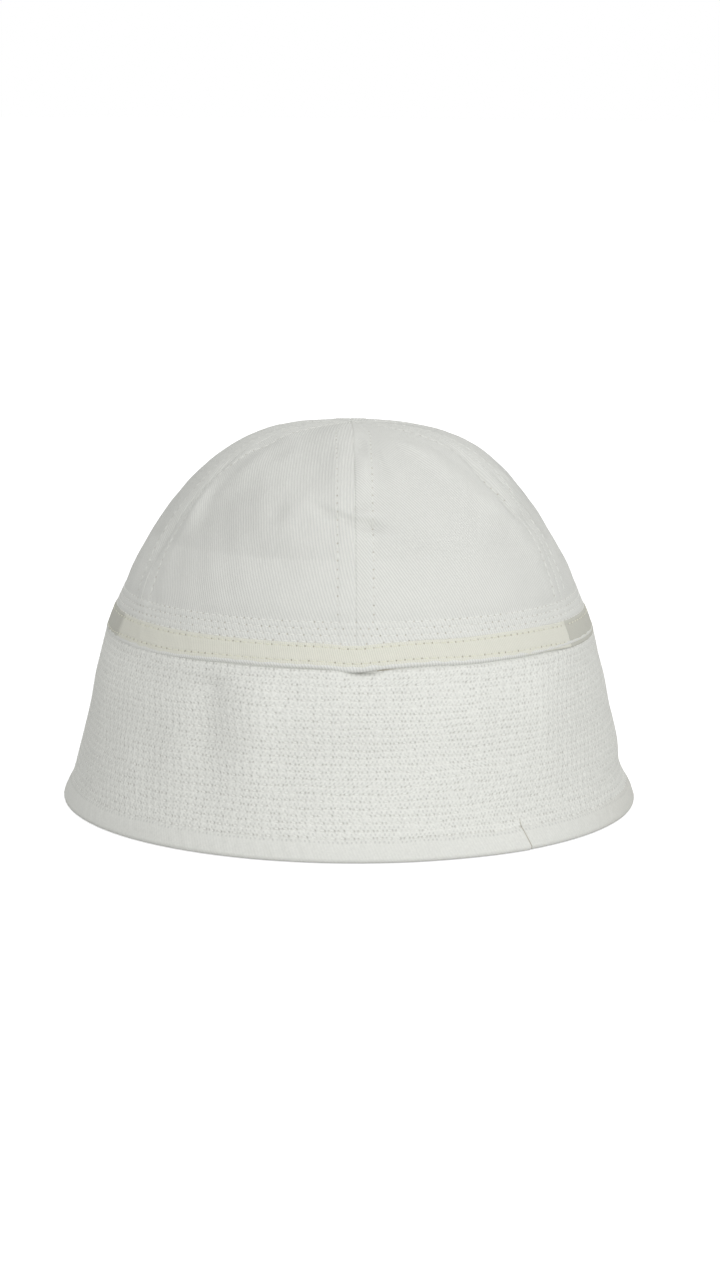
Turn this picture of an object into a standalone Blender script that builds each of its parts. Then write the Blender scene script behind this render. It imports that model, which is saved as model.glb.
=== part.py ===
"""Six-panel cotton-twill bucket hat, standing on the rim of its brim.

Frame: metres, +Z up, origin on the ground under the middle of the hat.
-Y is the front, and the crown is longer front to back than side to side.
Every piece is a sheet of cloth with a real thickness. Sheets that are sewn
together keep a gap of 0.3 mm, so that each one stays a separate body.
"""
import math

import bmesh
import bpy
import numpy as np

# ---- driving dimensions -------------------------------------------------
HALF_WIDTH = 0.093          # outside of the crown's base, side to side
FRONT_BACK_RATIO = 1.12     # how much longer the hat is front to back
HAT_HEIGHT = 0.1434         # rim to the top of the crown
BRIM_HEIGHT = 0.0659        # rim to the crown's base seam
BRIM_SLOPE = 0.250          # how far the brim spreads for each metre it drops
RIM_FLARE = 0.0016          # extra spread at the rim
RIM_FLARE_HEIGHT = 0.004    # height over which that flare dies out
DOME_RISE_POWER = 1.035     # superellipse powers of the crown's outline
DOME_RADIUS_POWER = 3.06

GAP = 0.0003                # clearance between sheets that are sewn together
TWILL = 0.0008              # crown cloth
BRIM_CLOTH = 0.0007
INTERLINING = 0.0006
TAPE = 0.0005
RIBBON = 0.0006
BAND = 0.0008               # sweatband

PANEL_COUNT = 6
PANEL_STEPS = 8             # facets across one crown panel
TIP_RADIUS = 0.0022         # where the panel tips stop, beside the crown's centre
LIP = 0.0010                # the crown's turned edge below the ribbon
CROWN_TURN = math.radians(1.5)  # the sewn crown sits slightly turned on the brim
SEAM_BOW = math.radians(7)      # how far the side seams bow towards the sides
SEAM_BOW_POWER = 1.6            # above 1 puts the bow's widest point low on the crown

RIBBON_BOTTOM = 0.0008      # above the crown's base seam
RIBBON_TOP = 0.0084
TAPE_HALF_WIDTH = 0.0075
TAPE_START = 0.0160         # short tapes start this far from the crown's centre
BAND_HEIGHT = 0.0375
STAY_BOTTOM = 0.0065        # above the crown's base seam
STAY_TOP = 0.0185
BRIM_TURN_UP = 0.0060       # brim cloth that runs up inside the crown
HEM_TURN_IN = 0.0090        # brim cloth that turns in at the rim

RING_STEP = math.radians(7.5)
BRIM_SEAM = math.radians(35.5)
RIBBON_JOINT = math.radians(62)
BACK_JOINT = math.radians(180)

OFF_WHITE = (0.74, 0.74, 0.70, 1.0)
CREAM = (0.70, 0.69, 0.60, 1.0)
BAND_WHITE = (0.76, 0.75, 0.70, 1.0)
STIFFENER = (0.66, 0.64, 0.58, 1.0)


# ---- the crown's outline ------------------------------------------------
def crown_outline():
    """Radius, height and distance from the centre, from the crown's top to its lip."""
    angle = np.linspace(math.pi / 2, 0.0, 600)
    rise = np.sin(angle) ** (2 / DOME_RISE_POWER)
    radius = HALF_WIDTH * np.cos(angle).clip(0) ** (2 / DOME_RADIUS_POWER)
    height = BRIM_HEIGHT + (HAT_HEIGHT - BRIM_HEIGHT) * rise
    drop = np.linspace(0.0, 2 * LIP, 9)[1:]
    radius = np.append(radius, HALF_WIDTH + BRIM_SLOPE * drop)
    height = np.append(height, BRIM_HEIGHT - drop)
    steps = np.hypot(np.diff(radius), np.diff(height))
    return radius, height, np.append(0.0, np.cumsum(steps))


OUTLINE_RADIUS, OUTLINE_HEIGHT, OUTLINE_LENGTH = crown_outline()


def length_at_height(height):
    """Distance along the outline from the crown's centre down to a height."""
    return float(np.interp(-height, -OUTLINE_HEIGHT, OUTLINE_LENGTH))


def crown_section(length, depth):
    """Radius and height of the crown at a distance from its centre, depth under its outside."""
    reach = 0.0008
    radius, height = (np.interp(length, OUTLINE_LENGTH, values)
                      for values in (OUTLINE_RADIUS, OUTLINE_HEIGHT))
    ends = [np.interp((length - reach, length + reach), OUTLINE_LENGTH, values)
            for values in (OUTLINE_RADIUS, OUTLINE_HEIGHT)]
    along_radius = ends[0][1] - ends[0][0]
    along_height = ends[1][1] - ends[1][0]
    scale = depth / math.hypot(along_radius, along_height)
    return float(radius + along_height * scale), float(height - along_radius * scale)


def seam_azimuth(index, length):
    """Azimuth of a crown seam. The side seams bow towards the hat's sides on their way down."""
    azimuth = index * math.tau / PANEL_COUNT
    bow = SEAM_BOW * math.sin(math.pi * base_share(length) ** SEAM_BOW_POWER)
    return CROWN_TURN + azimuth + bow * math.sin(2 * azimuth) / math.sin(math.tau / 3)


def base_share(length):
    """0 at the crown's centre and 1 at its base seam."""
    return min(1.0, length / length_at_height(BRIM_HEIGHT))


def place(azimuth, radius, height):
    """A point of the hat. Azimuth 0 is the front, and positive turns towards +X."""
    return (radius * math.sin(azimuth), -FRONT_BACK_RATIO * radius * math.cos(azimuth), height)


# ---- building sheets ----------------------------------------------------
def material(name, colour, roughness=0.9):
    """A plain cloth material."""
    cloth = bpy.data.materials.new(name)
    cloth.use_nodes = True
    shader = cloth.node_tree.nodes["Principled BSDF"]
    shader.inputs["Base Color"].default_value = colour
    shader.inputs["Roughness"].default_value = roughness
    shader.inputs["Metallic"].default_value = 0.0
    return cloth


def sheet(name, front, back, cloth):
    """One closed body between two grids of points with the same rows and columns."""
    bm = bmesh.new()
    grids = [[[bm.verts.new(point) for point in row] for row in grid] for grid in (front, back)]
    outer, inner = grids
    rows, columns = len(front), len(front[0])
    for i in range(rows - 1):
        for j in range(columns - 1):
            for grid in grids:
                bm.faces.new((grid[i][j], grid[i][j + 1], grid[i + 1][j + 1], grid[i + 1][j]))
        for j in (0, columns - 1):
            bm.faces.new((outer[i][j], outer[i + 1][j], inner[i + 1][j], inner[i][j]))
    for i in (0, rows - 1):
        for j in range(columns - 1):
            bm.faces.new((outer[i][j], outer[i][j + 1], inner[i][j + 1], inner[i][j]))
    bmesh.ops.recalc_face_normals(bm, faces=bm.faces)
    mesh = bpy.data.meshes.new(name)
    bm.to_mesh(mesh)
    bm.free()
    mesh.shade_smooth()
    mesh.set_sharp_from_angle(angle=math.radians(35))
    piece = bpy.data.objects.new(name, mesh)
    piece.data.materials.append(cloth)
    bpy.context.scene.collection.objects.link(piece)
    return piece


def open_ring(joint):
    """Azimuths once round the hat, from one side of a joint to its other side."""
    half_gap = GAP / 2 / HALF_WIDTH
    first, last = joint + half_gap, joint + math.tau - half_gap
    start = math.ceil(first / RING_STEP + 0.2)
    stop = math.floor(last / RING_STEP - 0.2)
    return [first] + [i * RING_STEP for i in range(start, stop + 1)] + [last]


def ring_sheet(name, front, back, joint, cloth):
    """A band round the hat from two section lines, cut through at its joint."""
    azimuths = open_ring(joint)
    grids = [[[place(azimuth, radius, height) for radius, height in line] for azimuth in azimuths]
             for line in (front, back)]
    return sheet(name, grids[0], grids[1], cloth)


def crown_band(name, low, high, depth, thickness, steps, joint, cloth):
    """A band that lies against the crown between two heights above the base seam."""
    lengths = np.linspace(length_at_height(BRIM_HEIGHT + high),
                          length_at_height(BRIM_HEIGHT + low), steps + 1)
    front, back = ([crown_section(length, d) for length in lengths]
                   for d in (depth, depth + thickness))
    return ring_sheet(name, front, back, joint, cloth)


# ---- crown --------------------------------------------------------------
def panel_lengths():
    """Distances from the centre at which a crown panel has a row of points."""
    tip = float(np.interp(TIP_RADIUS, OUTLINE_RADIUS[:600], OUTLINE_LENGTH[:600]))
    base = length_at_height(BRIM_HEIGHT)
    return list(np.linspace(tip, base, 17)) + [length_at_height(BRIM_HEIGHT - LIP)]


def crown_panel(name, index, cloth):
    """One gore of the crown, between seam number index and the next one."""
    def grid(depth):
        rows = []
        for length in panel_lengths():
            radius, height = crown_section(length, depth)
            clear = GAP / 2 / OUTLINE_RADIUS[np.searchsorted(OUTLINE_LENGTH, length)]
            azimuths = np.linspace(seam_azimuth(index, length) + clear,
                                   seam_azimuth(index + 1, length) - clear, PANEL_STEPS + 1)
            rows.append([place(azimuth, radius, height) for azimuth in azimuths])
        return rows
    return sheet(name, grid(0.0), grid(TWILL), cloth)


def tape_point(seam, length, offset, depth):
    """A point on a tape, offset sideways from the seam that it covers."""
    centre_radius = crown_section(length, 0.0)[0]
    radius, height = crown_section(math.hypot(length, offset * (1 - base_share(length))), depth)
    return place(seam_azimuth(seam, length) + math.atan2(offset, centre_radius), radius, height)


def seam_tape(name, path, cloth):
    """A tape under the crown seams, along a path of (seam, distance from the centre)."""
    offsets = np.linspace(-TAPE_HALF_WIDTH, TAPE_HALF_WIDTH, 5)
    grids = []
    for depth in (TWILL + GAP, TWILL + GAP + TAPE):
        grids.append([[tape_point(seam, length, offset * turn, depth) for offset in offsets]
                      for seam, length, turn in path])
    return sheet(name, grids[0], grids[1], cloth)


def tape_lengths(start):
    """Distances from the centre down to the brim cloth, on the panels' own rows."""
    end = length_at_height(BRIM_HEIGHT + BRIM_TURN_UP + GAP)
    inside = [length for length in panel_lengths() if start + 0.003 < length < end - 0.002]
    return [start] + inside + [end]


# ---- brim ---------------------------------------------------------------
def brim_radius(height):
    """Radius of the outside of the brim cloth below the crown's lip."""
    flare = RIM_FLARE * math.exp(-height / RIM_FLARE_HEIGHT)
    return HALF_WIDTH - TWILL - GAP + BRIM_SLOPE * (BRIM_HEIGHT - height) + flare


def brim_wall(depth, bottom, top):
    """Section points down one face of a brim layer, from inside the crown to a low height."""
    under_crown = [crown_section(length_at_height(BRIM_HEIGHT + rise), TWILL + GAP + depth)
                   for rise in (top, top / 2, 0.0)]
    heights = [BRIM_HEIGHT * share for share in (0.72, 0.44)] + [0.0140, 0.0095]
    open_wall = [(brim_radius(height) - depth, height) for height in heights if height > bottom + 0.0005]
    return under_crown + open_wall + [(brim_radius(bottom) - depth, bottom)]


def turned_hem(radius, bottom, outside, inside, direction):
    """Front and back section points of cloth that folds up at the rim.

    outside and inside are the depths of the fold's two outer faces. direction is 1 where the
    fold turns towards the head, and -1 where it turns away from it.
    """
    start, end = (outside, inside) if direction > 0 else (inside, outside)
    width = abs(inside - outside)
    cloth = (width - GAP) / 2
    front, back = [], []
    for share, rise in ((0.07, 0.45), (0.27, 0.0), (0.73, 0.0), (0.93, 0.45)):
        depth = start + (end - start) * share
        front.append((radius - depth, bottom + rise * cloth))
        inner = start + (end - start) * (0.5 + (share - 0.5) * GAP / width)
        back.append((radius - inner, bottom + cloth * (1.05 + 0.35 * abs(share - 0.5))))
    for rise in (0.0013, HEM_TURN_IN):
        front.append((radius_at_rise(radius, rise, bottom) - end, bottom + rise))
        back.append((radius_at_rise(radius, rise, bottom) - end + direction * cloth, bottom + rise))
    return front, back


def radius_at_rise(radius, rise, bottom):
    """Outside radius of the brim a short way above the rim's own radius."""
    return radius + brim_radius(bottom + rise) - brim_radius(bottom)


def brim_outer(cloth):
    """Outer brim cloth, whose rim turns in as a soft hem and is what the hat stands on."""
    low = 0.0013
    front, back = brim_wall(0.0, low, BRIM_TURN_UP), brim_wall(BRIM_CLOTH, low, BRIM_TURN_UP)
    hem_front, hem_back = turned_hem(brim_radius(0.0), 0.0, 0.0, 2 * BRIM_CLOTH + GAP, 1)
    return ring_sheet("brim_outer", front + hem_front, back + hem_back, BRIM_SEAM, cloth)


def brim_interlining(cloth):
    """Stiff layer inside the brim, from the hem's turned edge up to the crown seam."""
    depth = BRIM_CLOTH + GAP
    bottom = HEM_TURN_IN + 2 * GAP
    top = BRIM_TURN_UP - GAP
    return ring_sheet("brim_interlining", brim_wall(depth, bottom, top),
                      brim_wall(depth + INTERLINING, bottom, top), BRIM_SEAM, cloth)


def brim_facing(cloth):
    """Under-brim cloth. Its rim turns away from the head, against the outer cloth's hem."""
    upper = BRIM_CLOTH + INTERLINING + 2 * GAP
    hem_near = 2 * BRIM_CLOTH + 2 * GAP
    hem_far = hem_near + 2 * BRIM_CLOTH + GAP
    low = GAP + 0.0013
    front, back = [], []
    for radius_front, height in brim_wall(0.0, low, BRIM_TURN_UP):
        blend = min(1.0, max(0.0, (0.0240 - height) / 0.0130))
        depth = upper + blend * (hem_far - BRIM_CLOTH - upper)
        front.append((radius_front - depth - BRIM_CLOTH, height))
        back.append((radius_front - depth, height))
    hem_front, hem_back = turned_hem(brim_radius(GAP), GAP, hem_near, hem_far, -1)
    return ring_sheet("brim_facing", front + hem_front, back + hem_back, BRIM_SEAM, cloth)


# ---- the hat ------------------------------------------------------------
def main():
    """Clear the scene and make every piece."""
    for old in list(bpy.data.objects):
        bpy.data.objects.remove(old, do_unlink=True)
    crown_cloth = material("crown_twill", OFF_WHITE)
    brim_cloth = material("brim_twill", OFF_WHITE)
    ribbon_cloth = material("ribbon_twill", CREAM)
    tape_cloth = material("seam_tape", OFF_WHITE)
    band_cloth = material("sweatband_cotton", BAND_WHITE)
    stiff_cloth = material("interlining", STIFFENER)

    panels = ("front_right", "side_right", "back_right", "back_left", "side_left", "front_left")
    for index, side in enumerate(panels):
        crown_panel("crown_panel_" + side, index, crown_cloth)

    half_path = [(length, 1) for length in tape_lengths(0.0035)]
    centre_path = [(PANEL_COUNT // 2, length, -1) for length, _ in reversed(half_path)]
    centre_path += [(0, length, 1) for length, _ in half_path]
    seam_tape("seam_tape_centre", centre_path, tape_cloth)
    for seam, side in ((1, "front_right"), (2, "back_right"), (4, "back_left"), (5, "front_left")):
        path = [(seam, length, 1) for length in tape_lengths(TAPE_START)]
        seam_tape("seam_tape_" + side, path, tape_cloth)

    crown_band("crown_base_stay", STAY_BOTTOM, STAY_TOP, TWILL + TAPE + 2 * GAP,
               INTERLINING, 2, BACK_JOINT, stiff_cloth)
    crown_band("ribbon_band", RIBBON_BOTTOM, RIBBON_TOP, -GAP - RIBBON, RIBBON, 2, RIBBON_JOINT,
               ribbon_cloth)
    brim_outer(brim_cloth)
    brim_interlining(stiff_cloth)
    brim_facing(brim_cloth)
    band_depth = TWILL + 2 * BRIM_CLOTH + INTERLINING + 4 * GAP
    crown_band("sweatband", -LIP, BAND_HEIGHT - LIP, band_depth, BAND, 4, BACK_JOINT, band_cloth)


main()
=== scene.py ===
"""Looks of a white cotton-twill bucket hat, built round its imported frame.

Every piece of cloth is a sheet with a front, a back and real thickness, shaped by the same outline
as the frame. The stitches are small lengths of thread that follow the sewn rows.
"""
import math

import bmesh
import bpy
import numpy as np
from mathutils import Matrix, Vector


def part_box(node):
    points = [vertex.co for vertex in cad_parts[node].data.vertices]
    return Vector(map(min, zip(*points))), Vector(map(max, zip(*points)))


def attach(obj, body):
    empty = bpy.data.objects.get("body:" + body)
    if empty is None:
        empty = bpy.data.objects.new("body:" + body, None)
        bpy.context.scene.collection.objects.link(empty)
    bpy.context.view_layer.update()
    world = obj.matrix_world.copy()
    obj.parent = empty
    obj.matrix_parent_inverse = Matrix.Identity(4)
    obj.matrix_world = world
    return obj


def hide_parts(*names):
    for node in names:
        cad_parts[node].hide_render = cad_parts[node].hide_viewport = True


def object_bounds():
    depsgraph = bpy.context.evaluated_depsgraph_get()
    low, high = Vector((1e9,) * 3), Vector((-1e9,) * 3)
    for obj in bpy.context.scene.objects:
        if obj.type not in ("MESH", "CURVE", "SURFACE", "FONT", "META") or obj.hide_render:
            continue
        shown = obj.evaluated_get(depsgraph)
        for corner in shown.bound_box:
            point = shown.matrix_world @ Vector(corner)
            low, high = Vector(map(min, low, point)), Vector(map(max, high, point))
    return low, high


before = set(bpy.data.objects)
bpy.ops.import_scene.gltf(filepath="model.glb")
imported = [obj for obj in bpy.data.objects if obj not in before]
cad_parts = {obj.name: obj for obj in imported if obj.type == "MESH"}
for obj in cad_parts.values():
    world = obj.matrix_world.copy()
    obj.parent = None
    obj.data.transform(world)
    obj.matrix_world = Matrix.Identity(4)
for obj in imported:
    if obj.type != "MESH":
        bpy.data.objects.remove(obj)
CAD_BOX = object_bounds()

# ---- sizes, in metres ---------------------------------------------------
LIP = 0.0010                # the crown's turned edge below the ribbon
LIP_LEAN = 0.0002           # how much lower the leaning lip's inner corner lies
BRIM_SLOPE = 0.250          # how far the brim spreads for each metre it drops
FRONT_BACK_RATIO = CAD_BOX[1].y / CAD_BOX[1].x
HAT_HEIGHT = CAD_BOX[1].z
BASE_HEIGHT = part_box("crown_panel_front_left")[0].z + LIP + LIP_LEAN
HALF_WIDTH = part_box("crown_panel_side_right")[1].x - BRIM_SLOPE * LIP
GIRTH = 1.06                # length round the hat, over that of a circle as wide
RIM_FLARE = 0.0016          # extra spread at the rim
RIM_FLARE_HEIGHT = 0.004
DOME_RISE_POWER = 1.035     # superellipse powers of the crown's outline
DOME_RADIUS_POWER = 3.06

GAP = 0.0003                # between sheets that are sewn together
TWILL = 0.0008
BRIM_CLOTH = 0.0007
INTERLINING = 0.0006
TAPE = 0.0005
BAND = 0.0008

PANEL_COUNT = 6
TIP_RADIUS = 0.0003
CROWN_TURN = math.radians(1.5)
SEAM_BOW = math.radians(7)  # how far the side seams bow towards the sides
SEAM_BOW_POWER = 1.6
BRIM_SEAM = math.radians(35.5)
RIBBON_JOINT = math.radians(62)
RIBBON_LIGHT_START = -69    # degrees: from here to its joint the ribbon is lighter
BACK_JOINT = math.radians(180)

RIBBON_BOTTOM = 0.0011      # heights above the crown's base seam
RIBBON_TOP = 0.0089
STAY_BOTTOM = 0.0065
STAY_TOP = 0.0185
BAND_TOP = 0.0365
TAPE_HALF_WIDTH = 0.0075
TAPE_START = 0.0160         # short tapes start this far from the crown's centre
TOPSTITCH = 0.0064          # from each crown seam to its topstitch rows
TOPSTITCH_START = 0.0085    # from the crown's centre to the first topstitch
BASE_ROWS = (0.0092, 0.0114, 0.0136, 0.0158)    # stitch rows round the crown's base
RIBBON_ROWS = (0.0077, 0.0028)
HEM = 0.0083                # rim to the lowest quilting row
HEM_SLANT = 0.027           # azimuth by which the seam slants across the hem
SEAM_OPEN = 0.0002          # azimuth left open at the brim's seam
LIP_EDGE = 0.0003           # the lip's visible edge, above the crown's base seam
BRIM_FULLNESS = 0.0008      # how far the brim swells below the lip
SEWN_PINCH = 0.00045        # how far the stitch rows pull the crown's base in
QUILT_ROWS = 24
QUILT_TOP = BASE_HEIGHT - 0.0008
QUILT_DASH = 0.57           # share of each quilting stitch that lies on the cloth
STITCH = 0.00335            # from one stitch to the next
STITCH_SHARE = 0.90         # share of every other stitch that lies on the cloth
THREAD = 0.00021            # radius of the sewing thread
FORM_SHADE = 20             # painted light and shade: how much lighter each metre of swelling is painted, and each metre of hollow darker
RIBBON_SHADE = 0.24         # how much darker the rest of the ribbon is
RIBBON_STAND = 0.00032      # how far the ribbon's edges stand off the crown


# ---- smooth helpers -----------------------------------------------------
def smooth(value, low, high):
    """0 below low and 1 above high, smooth between."""
    share = np.clip((value - low) / (high - low), 0, 1)
    return share * share * (3 - 2 * share)


def plateau(value, foot, top, edge, end):
    """1 from top to edge, falling smoothly to 0 below foot and above end."""
    return smooth(value, foot, top) * (1 - smooth(value, edge, end))


def hill(distance, width):
    """A smooth hill, 1 high and about width to each side."""
    return np.exp(-(distance / width) ** 2)


def wander(azimuth, along, seed, turns, lengths, waves=6):
    """Smooth random waves round the hat and along it, about 1 high."""
    draw = np.random.RandomState(seed)
    total = np.zeros(np.broadcast(azimuth, along).shape)
    for _ in range(waves):
        count = draw.randint(turns[0], turns[1] + 1)
        length = draw.uniform(*lengths)
        phase = draw.uniform(0, math.tau)
        slant = draw.choice((-1, 1))
        total += np.sin(count * azimuth + slant * math.tau * along / length + phase)
    return total / math.sqrt(waves)


def painted_form_light(form):
    """Painted light and shade from the form: how much lighter a swelling is painted, and how much darker a
    hollow.
    """
    return np.clip(FORM_SHADE * form, -0.05, 0.05)


# ---- outline and places -------------------------------------------------
DOME_STEPS = 3000           # points down the dome's outline


def crown_outline():
    """Radius, height and distance from the centre, from the crown's top to below its lip."""
    angle = np.linspace(math.pi / 2, 0.0, DOME_STEPS)
    rise = np.sin(angle) ** (2 / DOME_RISE_POWER)
    radius = HALF_WIDTH * np.cos(angle).clip(0) ** (2 / DOME_RADIUS_POWER)
    height = BASE_HEIGHT + (HAT_HEIGHT - BASE_HEIGHT) * rise
    drop = np.linspace(0.0, 0.006, 60)[1:]
    radius = np.append(radius, HALF_WIDTH + BRIM_SLOPE * drop)
    height = np.append(height, BASE_HEIGHT - drop)
    return radius, height, np.append(0.0, np.cumsum(np.hypot(np.diff(radius), np.diff(height))))


RADIUS, HEIGHT, LENGTH = crown_outline()
BASE_LENGTH = float(np.interp(-BASE_HEIGHT, -HEIGHT, LENGTH))


def length_at(rise):
    """Distance along the crown's outline at a height above its base seam."""
    return np.interp(-(BASE_HEIGHT + rise), -HEIGHT, LENGTH)


def section(length, out):
    """Radius and height at a distance along the crown's outline, pushed out along its normal."""
    reach = 0.0006
    change = [np.interp(length + reach, LENGTH, line) - np.interp(length - reach, LENGTH, line)
              for line in (RADIUS, HEIGHT)]
    size = np.hypot(*change)
    radius = np.interp(length, LENGTH, RADIUS) - out * change[1] / size
    height = np.interp(length, LENGTH, HEIGHT) + out * change[0] / size
    return radius, height


def place(azimuth, radius, height):
    """Points of the hat. Azimuth 0 is the front, and positive turns towards +X."""
    x, y, z = np.broadcast_arrays(radius * np.sin(azimuth),
                                  -FRONT_BACK_RATIO * radius * np.cos(azimuth), height)
    return np.stack([x, y, z], -1)


def base_share(length):
    """0 at the crown's centre and 1 at its base seam."""
    return np.clip(length / BASE_LENGTH, 0, 1)


def seam_azimuth(index, length):
    """Azimuth of a crown seam. The side seams bow towards the hat's sides."""
    azimuth = index * math.tau / PANEL_COUNT
    bow = SEAM_BOW * np.sin(math.pi * base_share(length) ** SEAM_BOW_POWER)
    return CROWN_TURN + azimuth + bow * math.sin(2 * azimuth) / math.sin(math.tau / 3)


def wrapped(angle):
    """An angle brought to within half a turn of 0."""
    return (angle + math.pi) % math.tau - math.pi


def turned(azimuth):
    """The azimuth in degrees, from -180 at the back to 180, with the front at 0."""
    return np.degrees(wrapped(azimuth))


def around(azimuth):
    """How far a point moves for each radian of azimuth, at a radius of 1."""
    return np.hypot(np.cos(azimuth), FRONT_BACK_RATIO * np.sin(azimuth))


TURNS = np.linspace(-math.tau, 2 * math.tau, 3001)
ARCS = np.cumsum(around(TURNS)) * (TURNS[1] - TURNS[0])


def arc(azimuth):
    """Distance round the hat to an azimuth, at a radius of 1."""
    return np.interp(azimuth, TURNS, ARCS)


def ring_azimuths(joint, count, gap=0.00012):
    """Azimuths once round the hat from one side of a joint to the other."""
    clear = gap / 2 / HALF_WIDTH
    return np.linspace(joint + clear, joint + math.tau - clear, count + 1)


# ---- the crown's shape --------------------------------------------------
# Soft dents and swellings: azimuth (degrees), distance from the crown's centre (mm), half width
# round the hat (mm), half width along it (mm), turn (degrees), rise (mm).
CROWN_FORMS = (
    (-8, 72.4, 5.5, 2, 24, -1.4),
    (-1, 75.8, 4.5, 2, 24, -1.4),
    (6.5, 78.4, 4.5, 2.4, 10, -2.3),
    (3, 71, 5, 1.6, 0, -1),
    (3, 74.6, 4, 1.5, 5, 0.7),
    (4, 84, 7, 4, 0, 0.6),
    (4.7, 56, 3, 9, 0, 1.4),
    (5.3, 37, 3.2, 7, 0, -1.6),
    (13, 50, 2.5, 12, 0, -1),
    (33, 40, 5, 10, -37, 1),
    (-54, 39, 6, 5, 0, -1.2),
    (11.5, 28, 5, 8, 0, -0.9),
    (-9, 40, 4, 9, 0, -0.55),
    (-24, 73.7, 4.5, 6.5, 20, -1.2),
    (-39.5, 44.6, 6, 5.5, 0, -1.1),
    (-20, 90, 16, 12, 0, -0.8),
    (22, 92, 16, 9, 0, -0.6),
    (61, 62, 2.6, 17, 0, -2.2),
    (69, 82, 3.4, 8, -63, -1.1),
    (41, 54, 7, 14, -15, 1.4),
    (52, 75, 7, 12, -41, 1.7),
    (60, 93, 6, 12, -9, 1.4),
    (72, 70, 2, 9, -20, -1.1),
    (78, 66, 2.2, 9, -24, 0.9),
    (-57, 74, 4, 18, 0, 1.8),
    (-62.5, 66, 2.2, 14, 0, -1.5),
    (-66, 92, 2.8, 14, 6, -1.1),
    (-47, 60, 5.5, 12, 12, 1.1),
    (-74, 104, 5, 12, 0, 0.5),
    (-95, 58, 34, 30, 0, -1),
    (118, 76, 10, 4, 12, -1),
    (132, 62, 3, 14, 18, -0.9),
    (150, 92, 14, 12, 0, -0.8),
    (178, 76, 8, 2.4, -16, -1.1),
    (188, 84, 9, 3, 10, 0.6),
    (205, 84, 5, 14, 20, -0.9),
    (226, 70, 3, 14, -14, 0.8),
    (238, 74, 3, 14, -15, -1),
)
FORM_RADIUS = 0.085         # radius that turns a form's azimuth into a distance, at the base


def crown_form(azimuth, length):
    """How far the worn shape of the crown stands out from its outline."""
    rise = np.zeros(np.broadcast(azimuth, length).shape)
    for turn_at, along, wide, tall, turn, height in CROWN_FORMS:
        x = wrapped(azimuth - math.radians(turn_at)) * FORM_RADIUS * base_share(along / 1000) ** 0.5
        y = length - along / 1000
        c, s = math.cos(math.radians(turn)), math.sin(math.radians(turn))
        across = hill((x * c + y * s) * 1000 / wide, 1)
        rise = rise + height / 1000 * across * hill((y * c - x * s) * 1000 / tall, 1)
    fade = plateau(length, 0.012, 0.045, BASE_LENGTH - 0.018, BASE_LENGTH - 0.009)
    rise = rise * (0.15 + 0.85 * fade)
    rise = rise + 0.00032 * fade * wander(azimuth, length, 3, (2, 7), (0.06, 0.16), 9)
    rise = rise - SEWN_PINCH * smooth(length, length_at(0.022), length_at(0.012))
    return rise + 0.00010 * fade * wander(azimuth, length, 4, (14, 40), (0.012, 0.03), 9)


def crown_shape(azimuth, length, out=0.0):
    """Points on the worn shape of the crown, or a distance outside it."""
    return place(azimuth, *section(length, crown_form(azimuth, length) + out))


def inside_crown(azimuth, rises, depth):
    """Points on a layer inside the crown, at heights above its base seam."""
    return crown_shape(azimuth, length_at(rises), -depth)


def seam_relief(edge, length):
    """Relief of a crown panel at a distance from its seam: turned edge, allowance and topstitch."""
    pucker = 0.00005 * np.sin(math.tau * length / (2 * STITCH) + 3 * np.sin(length * 190))
    pucker = pucker * hill(edge - 0.5 * TOPSTITCH, 0.5 * TOPSTITCH)
    allowance = 0.00022 * (1 - smooth(edge, TOPSTITCH - 0.0002, TOPSTITCH + 0.0016))
    groove = -0.00020 * hill(edge - TOPSTITCH, 0.00045)
    fold = -0.00022 * hill(edge, 0.00030)
    free = 1 - 0.8 * smooth(length, length_at(RIBBON_TOP) - 0.0002, length_at(RIBBON_TOP) + 0.0010)
    return free * (fold + allowance + groove + pucker)


def row_relief(length):
    """Relief of the stitch rows round the crown's base."""
    relief = 0.00012 * smooth(length, length_at(BASE_ROWS[-1]) - 0.0008, length_at(BASE_ROWS[-1]))
    for rise in BASE_ROWS:
        relief = relief - 0.00020 * hill(length - length_at(rise), 0.00045)
    return relief


def lip_sag(azimuth, length):
    """How far the crown's lower edge and the ribbon hang below their even line."""
    turn = turned(azimuth)
    dip = 0.0008 * hill(turn - 1, 5) - 0.0006 * hill(turn - 17, 7)
    dip = dip + 0.00012 * wander(azimuth, 0 * length, 41, (3, 11), (1, 2))
    low = smooth(length, length_at(0.0110), length_at(0.0085))
    below = smooth(length, length_at(RIBBON_TOP), length_at(RIBBON_BOTTOM))
    left = 0.0011 * plateau(-turn, 25, 50, 80, 120)
    edge = smooth(length, length_at(0.0014), length_at(LIP_EDGE))
    lip = 0.0004 * hill(turn - 1.5, 4) + 0.0005 * plateau(-turn, 45, 62, 80, 120)
    return low * dip + below * left + edge * (lip - 0.0003 * hill(turn - 60, 20))


# ---- the brim's shape ---------------------------------------------------
BRIM_ROUND = 100            # mm round the brim for each radian
BRIM_WIDER = 1.1            # the brim's middle, over the crown's base
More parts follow.
